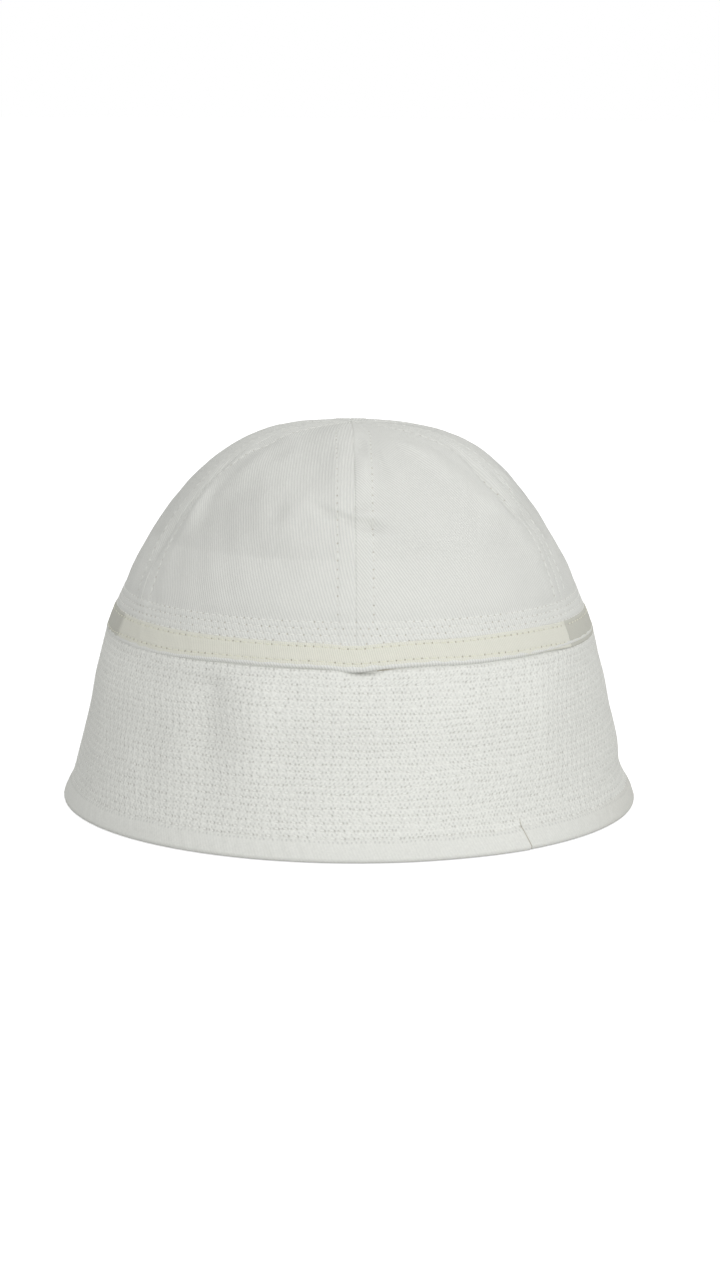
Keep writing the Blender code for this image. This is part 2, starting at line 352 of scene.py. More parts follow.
# Soft valleys and swellings: azimuth (degrees), height (mm), half width round the hat (mm), half
# height (mm), lean (mm of azimuth for each mm of height), rise (mm).
BRIM_FORMS = (
    (-31, 46, 8, 22, 0.1, -2),
    (-19, 42, 8, 26, 0, 1),
    (-45, 28, 7, 16, 0.1, -0.6),
    (33, 50, 5, 20, 0.15, -0.8),
    (46, 44, 6, 20, 0, 0.6),
    (62, 52, 5, 12, 0, -0.4),
    (-68, 40, 9, 20, 0, 0.6),
    (4, 64, 8, 4, 0, -1.6),
    (88, 15, 34, 6, 0, -1.5),
    (100, 40, 8, 24, 0.1, -0.9),
    (135, 36, 9, 22, 0, 0.7),
    (170, 42, 6, 26, -0.1, -1),
    (222, 40, 8, 22, 0.1, -0.8),
    (258, 36, 9, 24, 0, 0.7),
)


def front_gape(azimuth):
    """1 where the crown's lip stands off the brim, beside the front seam, and 0 away from it."""
    return hill(turned(azimuth) - 3.5, 4.0)


def brim_form(azimuth, height):
    """How far the brim's worn shape stands out from its outline."""
    rise = np.zeros(np.broadcast(azimuth, height).shape)
    for turn_at, level, wide, tall, lean, size in BRIM_FORMS:
        x = wrapped(azimuth - math.radians(turn_at)) * BRIM_ROUND + lean * (height * 1000 - level)
        rise = rise + size / 1000 * hill(x, wide) * hill(height * 1000 - level, tall)
    below_lip = 1 - smooth(height, BASE_HEIGHT - 0.0007, BASE_HEIGHT - 0.0001)
    fade = plateau(height, 0.0, 0.012, BASE_HEIGHT - 0.010, BASE_HEIGHT - 0.002)
    rise = rise * (0.35 + 0.65 * fade) * below_lip * smooth(height, 0.0, 0.006)
    gape = 1 - 2.6 * front_gape(azimuth) * smooth(height, BASE_HEIGHT - 0.0034, BASE_HEIGHT - 0.0009)
    full = BRIM_FULLNESS * smooth(height, 0.034, 0.050) * below_lip * gape
    return rise + full + 0.00030 * fade * wander(azimuth, height, 8, (3, 9), (0.08, 0.2), 8)


def brim_radius(height):
    """Radius of the outside of the brim cloth below the crown's lip."""
    flare = RIM_FLARE * np.exp(-height / RIM_FLARE_HEIGHT)
    return HALF_WIDTH - TWILL - GAP + BRIM_SLOPE * (BASE_HEIGHT - height) + flare


def under_brim(azimuth, height, depth):
    """Points on a layer under the outside of the brim."""
    return place(azimuth, brim_radius(height) + brim_form(azimuth, height) - depth, height)


QUILT_HEIGHTS = np.linspace(QUILT_TOP, HEM, QUILT_ROWS)
QUILT_STEP = float(QUILT_HEIGHTS[0] - QUILT_HEIGHTS[1])


def quilt_height(azimuth, height):
    """Height of a quilting line round the brim: the machine's line wavers a little."""
    inside = plateau(height, 0.002, 0.008, QUILT_TOP - 0.002, QUILT_TOP + 0.001)
    return height + 0.00020 * inside * wander(azimuth, height, 21, (9, 40), (0.007, 0.02), 8)


def quilt_relief(azimuth, height):
    """Relief of the quilting between rows, and of the soft hem below them."""
    share = (QUILT_TOP - height) / QUILT_STEP
    within = (share > -0.5) & (share < QUILT_ROWS - 1)
    pillow = 0.00015 * np.abs(np.sin(math.pi * share)) ** 0.75
    hem = np.clip(height / HEM, 0, 1)
    puff = 0.00075 * np.sin(math.pi * hem) ** 0.6
    crinkle = 0.00011 * np.sin(math.pi * hem) * wander(azimuth, height, 31, (90, 170), (0.01, 0.03), 8)
    return np.where(within, pillow, 0) + np.where(height < HEM, puff + crinkle, 0)


def seam_slant(height):
    """Azimuth by which the brim's seam moves on as it slants across the hem."""
    return HEM_SLANT * np.clip(1 - height / HEM, 0, 1)


def seam_distance(azimuth, height):
    """Distance round the brim from its seam."""
    return wrapped(azimuth - BRIM_SEAM - seam_slant(height)) * HALF_WIDTH * BRIM_WIDER


def brim_seam_relief(azimuth, height):
    """Relief beside the brim's one seam: nearly flat above, and a lapped end in the hem."""
    away = seam_distance(azimuth, height)
    hem = (1 - smooth(height, HEM, HEM + 0.0008)) * (away <= 0)
    lapped = 0.00045 * (1 - smooth(-away, 0.004, 0.030)) - 0.00030 * hill(away, 0.0004)
    allowance = 0.00008 * (1 - smooth(np.abs(away), 0.0045, 0.0065))
    return allowance + hem * lapped


def brim_azimuths(height, count):
    """Azimuths once round the brim from its seam, which slants across the hem."""
    near = np.array((0.0003, 0.0008))
    share = np.concatenate([[0], near, np.linspace(0, 1, count + 1)[1:-1], 1 - near[::-1], [1]])
    azimuth = BRIM_SEAM + SEAM_OPEN / 2 + share[None, :] * (math.tau - SEAM_OPEN)
    return azimuth + seam_slant(height) * (1 - smooth(np.minimum(share, 1 - share), 0.0, 0.03))


def brim_surface(azimuth, height):
    """Points on the outside of the brim cloth, with its shape and its quilting."""
    radius = brim_radius(height) + brim_form(azimuth, height)
    radius = radius + quilt_relief(azimuth, height) + brim_seam_relief(azimuth, height)
    return place(azimuth, radius, quilt_height(azimuth, height))


# ---- building cloth -----------------------------------------------------
MARKS = ("run", "off", "backed", "tone")
NO_ROW = 9.0                # mm: farther from a stitch row than any mark reaches


def weave_grid(across, down):
    """Weave coordinates, in mm."""
    return np.stack(np.broadcast_arrays(across, down), -1)


def side(points, uv, run=0.0, off=NO_ROW, backed=1.0, tone=1.0):
    """One side of a cloth: its points, weave coordinates (mm), and where its stitch rows are.

    run counts stitches along the nearest row, and off is the distance from that row in mm. backed
    is 1 where more cloth lies behind, and 0 over the dark inside, which is painted on as shade. tone
    darkens or lightens, mostly as painted light and shade.
    """
    shape = points.shape[:2]
    marks = {mark: np.broadcast_to(value, shape) for mark, value in zip(MARKS, (run, off, backed, tone))}
    return {"points": points, "uv": np.broadcast_to(uv, shape + (2,)), **marks}


def quads(rows, columns, start):
    """Faces of a grid of points."""
    corner = start + (np.arange((rows - 1) * columns).reshape(rows - 1, columns)[:, :-1]).ravel()
    return np.stack([corner, corner + columns, corner + columns + 1, corner + 1], 1).tolist()


def zip_edges(points, one, two):
    """Triangles that join two lines of points which run beside each other."""
    def shares(line):
        steps = np.linalg.norm(np.diff(points[line], axis=0), axis=1)
        return np.append(0, np.cumsum(steps)) / max(steps.sum(), 1e-12)
    first, second = shares(one), shares(two)
    faces, i, j = [], 0, 0
    while i < len(one) - 1 or j < len(two) - 1:
        if j == len(two) - 1 or (i < len(one) - 1 and first[i + 1] <= second[j + 1]):
            faces.append((one[i], one[i + 1], two[j]))
            i += 1
        else:
            faces.append((one[i], two[j + 1], two[j]))
            j += 1
    return faces


def finish_mesh(name, points, faces, marks, cloth, nodes=()):
    """Make the object, face it outwards, give it its weave coordinates and let it ride."""
    mesh = bpy.data.meshes.new(name)
    mesh.from_pydata(points, [], faces)
    bm = bmesh.new()
    bm.from_mesh(mesh)
    bmesh.ops.recalc_face_normals(bm, faces=bm.faces)
    bm.to_mesh(mesh)
    bm.free()
    mesh.shade_smooth()
    mesh.set_sharp_from_angle(angle=math.radians(62))
    corner = np.empty(len(mesh.loops), np.int32)
    mesh.loops.foreach_get("vertex_index", corner)
    layer = mesh.uv_layers.new(name="weave")
    layer.data.foreach_set("uv", marks.pop("uv")[corner].astype(np.float32).ravel())
    for mark, values in marks.items():
        mesh.attributes.new(mark, "FLOAT", "POINT").data.foreach_set("value", values.astype(np.float32))
    mesh.materials.append(cloth)
    piece = bpy.data.objects.new(name, mesh)
    bpy.context.scene.collection.objects.link(piece)
    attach(piece, "root")
    if nodes:
        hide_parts(*nodes)


def cloth_piece(name, front, back, cloth, slot, node):
    """A sheet of cloth with thickness: two grids of points, joined along all four edges."""
    sides, ids, faces, start = (front, back), [], [], 0
    points = np.concatenate([one["points"].reshape(-1, 3) for one in sides])
    for one in sides:
        rows, columns = one["points"].shape[:2]
        faces += quads(rows, columns, start)
        ids.append(start + np.arange(rows * columns).reshape(rows, columns))
        start += rows * columns
    for edge in (np.s_[0, :], np.s_[-1, :], np.s_[:, 0], np.s_[:, -1]):
        faces += zip_edges(points, ids[0][edge], ids[1][edge])
    marks = {mark: np.concatenate([one[mark].ravel() for one in sides]) for mark in MARKS}
    marks["uv"] = np.concatenate([one["uv"].reshape(-1, 2) for one in sides])
    finish_mesh(name, points, faces, marks, cloth, [node])


# ---- stitches -----------------------------------------------------------
# A stitch narrows from its middle to its ends: place along it, from -1 to 1, and width.
THREAD_RINGS = ((-1.0, 0.0), (-0.62, 0.85), (0.0, 1.0), (0.62, 0.85), (1.0, 0.0))
THREAD_SIDES = 5


def outward(surface, azimuth, along):
    """Outward directions of a surface, by small steps on it."""
    step = 0.0004
    sideways = surface(azimuth + step / HALF_WIDTH, along) - surface(azimuth - step / HALF_WIDTH, along)
    down = surface(azimuth, along + step) - surface(azimuth, along - step)
    normal = np.cross(sideways, down)
    normal /= np.linalg.norm(normal, axis=-1, keepdims=True)
    middle = np.array([0.0, 0.0, 0.04])
    return normal * np.sign(np.sum(normal * (surface(azimuth, along) - middle), -1, keepdims=True))


def sewn_row(surface, azimuth, along):
    """A row of stitch ends on a surface, with the directions that face out of it."""
    return surface(azimuth, along), outward(surface, azimuth, along)


def thread_faces(each):
    """Faces of one stitch that has a point at each end and rings between them."""
    ends, belts, last = [], [], each - 1
    for k in range(THREAD_SIDES):
        after = (k + 1) % THREAD_SIDES
        ends += [(0, 1 + after, 1 + k), (last, last - THREAD_SIDES + k, last - THREAD_SIDES + after)]
    for ring in range(1, 1 + (len(THREAD_RINGS) - 3) * THREAD_SIDES, THREAD_SIDES):
        for k in range(THREAD_SIDES):
            after = (k + 1) % THREAD_SIDES
            belts.append((ring + k, ring + after, ring + THREAD_SIDES + after, ring + THREAD_SIDES + k))
    return ends + belts


def stitches(name, rows, cloth, share=STITCH_SHARE):
    """Stitches along sewn rows.

    Each runs between neighbouring points of its row over a share of the way, rises in its middle
    and dips in at both ends.
    """
    lines = [((ends[1:] + ends[:-1]) / 2, (ends[1:] - ends[:-1]) / 2, (facing[1:] + facing[:-1]) / 2)
             for ends, facing in rows]
    middle, along, out = (np.concatenate(line) for line in zip(*lines))
    out /= np.linalg.norm(out, axis=1, keepdims=True)
    across = np.cross(along, out)
    across /= np.linalg.norm(across, axis=1, keepdims=True)
    lean = np.random.RandomState(len(middle)).normal(0, 0.05, (len(middle), 1))
    run = along * share + across * lean * np.linalg.norm(along, axis=1, keepdims=True)
    turn = (np.arange(THREAD_SIDES) * math.tau / THREAD_SIDES)[:, None]
    ring = across[:, None] * np.cos(turn) + out[:, None] * np.sin(turn)
    vertices = []
    for place_along, size in THREAD_RINGS:
        centre = middle + run * place_along + out * (THREAD * (0.55 - 2.1 * place_along ** 2))
        vertices.append(centre[:, None] + ring * THREAD * size if size else centre[:, None])
    points = np.concatenate(vertices, 1)
    count, each = points.shape[:2]
    one = thread_faces(each)
    faces = [tuple(i + n * each for i in face) for n in range(count) for face in one]
    uv = np.zeros((count * each, 2))
    uv[:, 0] = np.tile(np.repeat([-1, 1], [each // 2, each - each // 2]), count)
    finish_mesh(name, points.reshape(-1, 3), faces, {"uv": uv}, cloth)


# ---- node materials -----------------------------------------------------
def connect(tree, node, inputs):
    """Set a node's inputs, each to a value, to another node's socket or to a Number."""
    for name, value in inputs.items():
        value = getattr(value, "socket", value)
        if isinstance(value, bpy.types.NodeSocket):
            tree.links.new(value, node.inputs[name])
        else:
            node.inputs[name].default_value = value


def add_node(tree, kind, inputs, **settings):
    """A new shader node, with its settings made before its inputs."""
    node = tree.nodes.new("ShaderNode" + kind)
    for name, value in settings.items():
        setattr(node, name, value)
    connect(tree, node, inputs)
    return node.outputs


class Number:
    """A number in a material. Arithmetic on it adds Math nodes to the material."""

    def __init__(self, tree, socket):
        self.tree = tree
        self.socket = socket

    def math(self, operation, *others):
        inputs = dict(enumerate((self, *others)))
        return Number(self.tree, add_node(self.tree, "Math", inputs, operation=operation)[0])

    def __add__(self, other):
        return self.math("ADD", other)

    def __sub__(self, other):
        return self.math("SUBTRACT", other)

    def __mul__(self, other):
        return self.math("MULTIPLY", other)

    def __truediv__(self, other):
        return self.math("DIVIDE", other)

    def step(self, low, high, start=0.0, end=1.0):
        """start below low and end above high, smooth between."""
        inputs = {"Value": self, "From Min": low, "From Max": high, "To Min": start, "To Max": end}
        outputs = add_node(self.tree, "MapRange", inputs, interpolation_type="SMOOTHSTEP")
        return Number(self.tree, outputs["Result"])

    def wave(self):
        """The upper half of a sine wave, once for each whole number."""
        return (self.math("FRACT") * math.pi).math("SINE")


def attribute(tree, name):
    """A number stored on the mesh."""
    return Number(tree, add_node(tree, "Attribute", {}, attribute_name=name)["Fac"])


def noise(tree, coordinates, scale, detail=2.0):
    """Noise about 0.5, on coordinates given as a socket."""
    inputs = {"Vector": coordinates, "Scale": scale, "Detail": detail}
    return Number(tree, add_node(tree, "TexNoise", inputs)["Fac"])


def new_material(name, roughness, sheen):
    """A material, its node tree, its shader, and its object coordinates in metres."""
    cloth = bpy.data.materials.new(name)
    cloth.use_nodes = True
    tree = cloth.node_tree
    shader = tree.nodes["Principled BSDF"]
    connect(tree, shader, {"Roughness": roughness, "Specular IOR Level": 0.25, "Sheen Weight": sheen,
                           "Sheen Roughness": 0.5})
    return cloth, tree, shader, add_node(tree, "TexCoord", {})["Object"]


def weave_sockets(tree):
    """The weave coordinates in mm, as a socket and as two numbers."""
    weave = add_node(tree, "UVMap", {}, uv_map="weave")[0]
    split = add_node(tree, "SeparateXYZ", {0: weave})
    return weave, Number(tree, split[0]), Number(tree, split[1])


SHADE_BROWN = (0.60, 0.53, 0.43)   # what painted shade leaves of each colour, in needle holes and crevices


def paint(tree, shader, colour, shade, warmth=0.0):
    """Base colour times a shade. warmth, 0 to 1, turns it towards the brown of painted shade."""
    painted_shade = (part * left for part, left in zip(colour, SHADE_BROWN))
    mix = add_node(tree, "Mix", {"A": (*colour, 1), "B": (*painted_shade, 1), "Factor": warmth}, data_type="RGBA")
    shaded = add_node(tree, "VectorMath", {0: mix["Result"], "Scale": shade}, operation="SCALE")
    connect(tree, shader, {"Base Color": shaded[0]})


def raise_bump(tree, shader, height, distance):
    """Bump from a height of 0 to 1 that stands for a distance in metres."""
    bump = add_node(tree, "Bump", {"Distance": distance, "Strength": 1.0, "Height": height})
    connect(tree, shader, {"Normal": bump[0]})


WARP = 0.285                # mm between warp yarns
WEFT = 0.63                 # mm between weft yarns
TWILL_REPEAT = 4            # a warp yarn passes over three weft yarns and under one


def twill_height(u, v, warp, weft):
    """Height of a three-over-one twill, from 0 to 1. Its ribs fall from left to right."""
    column = u / warp
    row = v / weft
    lift = ((row + column.math("FLOOR")) / TWILL_REPEAT).math("FRACT")
    over = (lift * (math.pi * TWILL_REPEAT / 3)).math("SINE").math("MAXIMUM", 0.0)
    warp_yarn = column.wave().math("SQRT") * (over * 0.7 + 0.3)
    weft_yarn = row.wave().math("SQRT") * lift.step(0.72, 0.78) * 0.7
    return warp_yarn.math("MAXIMUM", weft_yarn), over


def needle_holes(tree, where, dash=1.0, size=0.50):
    """1 in the needle holes at the ends of each stitch, and 0 away from them. Some are fainter."""
    along = (attribute(tree, "run").math("FRACT") - 0.5).math("ABSOLUTE") - dash / 2
    along = along * (STITCH * 1000)
    away = attribute(tree, "off")
    distance = (along * along + away * away).math("SQRT")
    faint = noise(tree, where, 420, 1.0).step(0.36, 0.62, 0.25, 1.0)
    return distance.step(size * 0.2, size, 1.0, 0.0) * faint


def stitched_cloth(tree, where, dash):
    """Painted shade and relief of quilted cloth, which swells between its stitches: painted shade in the
    hollows between rows and round the needle holes, times a fine grain.
    """
    off = attribute(tree, "off")
    ripple = (attribute(tree, "run") * (2 * math.tau)).math("COSINE") * 0.5 + 0.5
    between_rows = off.step(0.70, 0.97) * off.step(1.3, 1.8, 1.0, 0.0)
    hollow = ripple * ripple * between_rows * noise(tree, where, 500, 1.0).step(0.30, 0.60, 0.3, 1.0)
    soft = needle_holes(tree, where, dash, 0.90)
    grain = noise(tree, where, 1100)
    # painted shade in the hollows between rows and round the needle holes, times a fine random grain
    shade = ((hollow * 0.19 + soft * 0.12) * -1.0 + 1.0) * (grain * 0.16 + 0.935)
    return shade, (attribute(tree, "run") * math.tau).math("COSINE") * off.step(0.5, 1.2, 1.0, 0.0)


def twill_material(name, colour, rib_shade, rib_depth, hole_shade, open_shade=0.0, dash=None):
    """Cotton twill: yarn by yarn weave, slubs, needle holes, and slight colour variation.

    open_shade darkens it over the dark inside. Quilted twill has a dash, the share of each stitch
    that lies on the cloth.
    """
    cloth, tree, shader, where = new_material(name, 0.88, 0.0)
    weave, u, v = weave_sockets(tree)
    bend = noise(tree, where, 90) * 0.30
    height, over = twill_height(u + bend, v + bend * 1.5, WARP, WEFT)
    slub = noise(tree, weave, 0.9, 4.0)
    cloud = noise(tree, where, 26)
    holes = needle_holes(tree, where, dash or 1.0)
    # painted shade between the twill's ribs
    shade = over * rib_shade + (1 - rib_shade * 0.6)
    shade = shade * (slub * 0.06 + 0.97) * (cloud * 0.035 + 0.9825)
    # painted shade over the dark inside, times the tone
    shade = shade * (attribute(tree, "backed") * open_shade + (1 - open_shade)) * attribute(tree, "tone")
    # where the tone is low, mostly from painted shade, the cloth turns towards the brown of painted shade
    shade_warmth = attribute(tree, "tone").step(0.76, 0.925, 1.0, 0.0)
    relief = (height * 0.5 + over * 0.35) * rib_depth + slub * 0.25 - holes * 1.4
    if dash:
        pucker_shade_and_grain, swelling = stitched_cloth(tree, where, dash)
        shade = shade * pucker_shade_and_grain
        relief = relief + swelling
    # needle holes take painted shade, brown like the crevices
    paint(tree, shader, colour, shade, holes * hole_shade + shade_warmth)
    raise_bump(tree, shader, relief, 0.00013)
    return cloth


def plain_material(name, colour, yarn, depth=0.00009):
    """Plain-woven cotton: yarns over and under one another."""
    cloth, tree, shader, where = new_material(name, 0.9, 0.15)
    weave, u, v = weave_sockets(tree)
    column, row = u / yarn, v / yarn
    check = (column.math("FLOOR") + row.math("FLOOR")).math("PINGPONG", 1.0)
    height = (row.wave() * (check * 0.6 + 0.4)).math("MAXIMUM", column.wave() * (check * -0.6 + 1.0))
    slub = noise(tree, weave, 0.8, 4.0)
    holes = needle_holes(tree, where)
    # painted shade between the yarns
    shade = (height * 0.10 + 0.92) * (slub * 0.08 + 0.96) * attribute(tree, "tone")
    # needle holes painted brown as shade
    paint(tree, shader, colour, shade, holes * 0.5)
    raise_bump(tree, shader, height + slub * 0.3 - holes * 2.0, depth)
    return cloth


def ribbon_material(name, colour):
    """Narrow twill tape: steep ribs, a firm woven edge, and needle holes."""
    cloth, tree, shader, where = new_material(name, 0.82, 0.15)
    weave, u, v = weave_sockets(tree)
    height, over = twill_height(u + noise(tree, where, 70) * 0.35, v, 0.21, 0.78)
    slub = noise(tree, weave, 0.9, 4.0)
    holes = needle_holes(tree, where)
    # painted shade between the ribs
    shade = (over * 0.10 + 0.93) * (slub * 0.07 + 0.965) * attribute(tree, "tone")
    # painted shade in the needle holes
    paint(tree, shader, colour, shade * (holes * -0.15 + 1.0), holes * 0.75)
    raise_bump(tree, shader, height * 0.3 + over * 0.5 + slub * 0.2 - holes * 1.4, 0.00012)
    return cloth


def thread_material(name, colour):
    """Sewing thread, with a fine uneven surface."""
    cloth, tree, shader, where = new_material(name, 0.6, 0.2)
    grain = noise(tree, where, 4200)
    paint(tree, shader, colour, grain * 0.16 + 0.92)
    raise_bump(tree, shader, grain, 0.00005)
    return cloth


# ---- crown panels -------------------------------------------------------
def stations(knots, steps):
    """Values that include every knot, with steps no longer than asked for between them."""
    values = [np.array(knots[:1])]
    for low, high, step in zip(knots, knots[1:], steps):
        count = max(1, math.ceil(abs(high - low) / step - 1e-9))
        values.append(np.linspace(low, high, count + 1)[1:])
    return np.concatenate(values)


BASE_TURNS = round(math.tau * HALF_WIDTH * 1.05 / STITCH)   # stitches once round the crown
BASE_LENGTHS = [length_at(rise) for rise in BASE_ROWS]
BASE_PHASES = (0.0, 0.37, 0.71, 0.18)
TOPSTITCH_PHASE = 0.4
PANEL_INSIDE_SHADE = (0.4, 2.0, 1.0, 1.2, 1.3, 1.5)     # how strongly each panel is painted with the shade of the dark inside
RIBBON_TOP_LENGTH = length_at(RIBBON_TOP)
LIP_LENGTH = length_at(LIP_EDGE)
EDGE_KNOTS = np.array((0.0, 0.15, 0.35, 0.6, 1.0, 1.8, 2.8, 3.8, 4.8, 5.5, 6.0, 6.4, 6.8, 7.3, 8.2,
                       9.2, 10.0)) / 1000
EDGE_CROWD = 0.013          # panels narrower than twice this squeeze their edge columns
PANEL_MIDDLE = 84           # columns across a panel between its edge zones


def panel_rows(step):
    """Distances from the crown's centre, with a row on each line of stitches."""
    tip = float(np.interp(TIP_RADIUS, RADIUS[:DOME_STEPS], LENGTH[:DOME_STEPS]))
    knots = [tip, BASE_LENGTHS[-1] - 0.0015] + BASE_LENGTHS[::-1]
    knots += [RIBBON_TOP_LENGTH, LIP_LENGTH - 0.003, LIP_LENGTH - 0.0006, LIP_LENGTH]
    return stations(knots, (step, *(0.0005,) * 5, 0.0010, 0.0004, 0.0002))


def panel_columns(index, lengths):
    """Azimuths of a panel's grid, and each column's distance from the nearer seam."""
    low, high = (seam_azimuth(index + hand, lengths)[:, None] for hand in (0, 1))
    radius = np.interp(lengths, LENGTH, RADIUS)[:, None]
    squeeze = np.minimum(1, (high - low) * radius * around((low + high) / 2) / 2 / EDGE_CROWD)
    left = low + EDGE_KNOTS * squeeze / (radius * around(low))
    right = high - EDGE_KNOTS[::-1] * squeeze / (radius * around(high))
    share = np.linspace(0, 1, PANEL_MIDDLE + 1)[1:-1]
    azimuth = np.concatenate([left, left[:, -1:] * (1 - share) + right[:, :1] * share, right], 1)
    inner = EDGE_KNOTS[-1] + 0.042 * (1 - np.abs(2 * share - 1))
    return azimuth, np.concatenate([EDGE_KNOTS, inner, EDGE_KNOTS[::-1]])[None, :]


def panel_weave(index, azimuth, lengths):
    """Weave coordinates of a panel, with its grain along its middle."""
    middle = (seam_azimuth(index, lengths) + seam_azimuth(index + 1, lengths))[:, None] / 2
    radius = np.interp(lengths, LENGTH, RADIUS)[:, None]
    across = (azimuth - middle) * radius * around(azimuth) * 1000 + 40 * index
    return weave_grid(across, (BASE_LENGTH - lengths)[:, None] * 1000)


def panel_marks(azimuth, row, edge):
    """Stitch count along the nearest base row or topstitch row, and the distance from it in mm."""
    away = np.stack([np.abs(row - base) for base in BASE_LENGTHS])
    base_run = azimuth * BASE_TURNS / math.tau + np.array(BASE_PHASES)[away.argmin(0)]
    off_row = away.min(0) * 1000
    off_seam = np.abs(edge - TOPSTITCH) * 1000 + NO_ROW * (row > BASE_LENGTHS[-1] - 0.001)
    run = np.where(off_row < off_seam, base_run, row / STITCH + TOPSTITCH_PHASE)
    return run, np.minimum(off_row, off_seam)


def panel_backing(index, azimuth, row, edge):
    """1 where cloth lies behind a panel, by its seams and behind its sweatband, and less between, where the
    panel takes painted shade from the dark inside.
    """
    band = length_at(BAND_TOP)
    backed = np.maximum(1 - smooth(edge, TOPSTITCH + 0.0002, TOPSTITCH + 0.0012),
                        smooth(row, band - 0.0008, band + 0.0008))
    patchy = 0.8 + 0.4 * wander(azimuth, row, 61, (4, 12), (0.03, 0.08))
    # painted shade of the dark inside, set panel by panel
    return 1 - (1 - backed) * PANEL_INSIDE_SHADE[index] * np.clip(patchy, 0.2, 1.6)


def panel_tone(azimuth, row, length, edge):
    """Tone of a panel: lighter over its sewn base, with painted shade just above it and in its seam folds,
    and painted light and shade from its form.
    """
    sewn = row - BASE_LENGTHS[-1]
    # lighter over the sewn base, with painted shade just above it
    tone = 1 + 0.03 * smooth(sewn, -0.0012, 0.0006) - 0.012 * hill(sewn + 0.0020, 0.0012)
    # painted shade in the fold of each seam
    tone = tone - 0.05 * hill(edge, 0.00030) * (row < RIBBON_TOP_LENGTH)
    # painted light and shade from the form
    return tone + painted_form_light(crown_form(azimuth, length))


def crown_panel(index, name, cloth):
    """One gore of the crown, with turned seam edges and a rounded lower lip."""
    lengths = panel_rows(0.0010)
    azimuth, edge = panel_columns(index, lengths)
    row = lengths[:, None]
    length = row + lip_sag(azimuth, row)
    lip = 0.00035 * hill(row - LIP_LENGTH + 0.0009, 0.0009) - 0.00045 * hill(row - LIP_LENGTH, 0.00035)
    relief = crown_form(azimuth, length) + seam_relief(edge, length) + row_relief(length) + lip
    front = side(place(azimuth, *section(length, relief)), panel_weave(index, azimuth, lengths),
                 *panel_marks(azimuth, row, edge), panel_backing(index, azimuth, row, edge),
                 panel_tone(azimuth, row, length, edge))
    inner = panel_rows(0.0030)[::2]
    inner = np.append(inner, LIP_LENGTH) if inner[-1] < LIP_LENGTH else inner
    azimuth = panel_columns(index, inner)[0][:, ::2]
    length = inner[:, None] + lip_sag(azimuth, inner[:, None])
    back = side(crown_shape(azimuth, length, -TWILL), panel_weave(index, azimuth, inner))
    cloth_piece(name + "_cloth", front, back, cloth, "crown_twill", name)


def topstitch_rows():
    """The twin stitch rows beside each crown seam."""
    first = math.ceil(TOPSTITCH_START / STITCH + TOPSTITCH_PHASE)
    last = math.floor((BASE_LENGTHS[-1] - 0.001) / STITCH + TOPSTITCH_PHASE)
    lengths = (np.arange(first, last + 1) - TOPSTITCH_PHASE) * STITCH
    radius = np.interp(lengths, LENGTH, RADIUS)
    rows = []
    for index in range(PANEL_COUNT):
        seam = seam_azimuth(index, lengths)
        round_seam = radius * around(seam)
        reach = TOPSTITCH * np.minimum(1, math.tau / PANEL_COUNT * round_seam / 2 / EDGE_CROWD)
        rows += [sewn_row(crown_shape, seam + hand * reach / round_seam, lengths) for hand in (-1, 1)]
    return rows


def base_surface(azimuth, length):
    """Where the stitches round the crown's base lie: pulled slightly into the cloth."""
    return crown_shape(azimuth, length, -0.00005)


def base_stitch_rows():
    """The four stitch rows round the crown's base."""
    return [sewn_row(base_surface, (np.arange(BASE_TURNS + 1) - phase) * math.tau / BASE_TURNS, length)
            for length, phase in zip(BASE_LENGTHS, BASE_PHASES)]


# ---- bands round the crown ----------------------------------------------
RIBBON_TURNS = round(math.tau * HALF_WIDTH * GIRTH / STITCH)
RIBBON_PHASES = (0.15, 0.6)


def ribbon_spread(azimuth, share):
    """How far the ribbon widens at the sides: its lower edge droops and its upper edge rises."""
    turn = turned(azimuth)
    right = 0.0005 * smooth(turn, 30, 45) + 0.0013 * smooth(turn, 50, 66)
    lower = right * (1 - smooth(turn, 95, 130)) + 0.0008 * plateau(-turn, 64, 76, 95, 130)
    return lower * share - 0.0009 * hill(turn - 42, 18) * (1 - share)


def ribbon_place(azimuth, length):
    """Where a row of the ribbon lies along the crown, and its share of the way down the ribbon."""
    share = (length - RIBBON_TOP_LENGTH) / (length_at(RIBBON_BOTTOM) - RIBBON_TOP_LENGTH)
    return length + lip_sag(azimuth, length) + ribbon_spread(azimuth, np.clip(share, 0, 1)), share


def ribbon_surface(azimuth, length, out=0.0):
    """Points on the outside of the ribbon: pressed at its edges, soft between its stitch rows."""
    along, share = ribbon_place(azimuth, length)
    body = 0.00010 * np.sin(math.pi * np.clip(share, 0, 1)) ** 0.5
    rows = sum(-0.00012 * hill((length - length_at(rise)) * 1000, 0.4) for rise in RIBBON_ROWS)
    soft = 0.00006 * wander(azimuth, length, 51, (40, 110), (0.01, 0.03))
    relief = RIBBON_STAND + body + rows + soft + crown_form(azimuth, length) + out
    return place(azimuth, *section(along, relief))


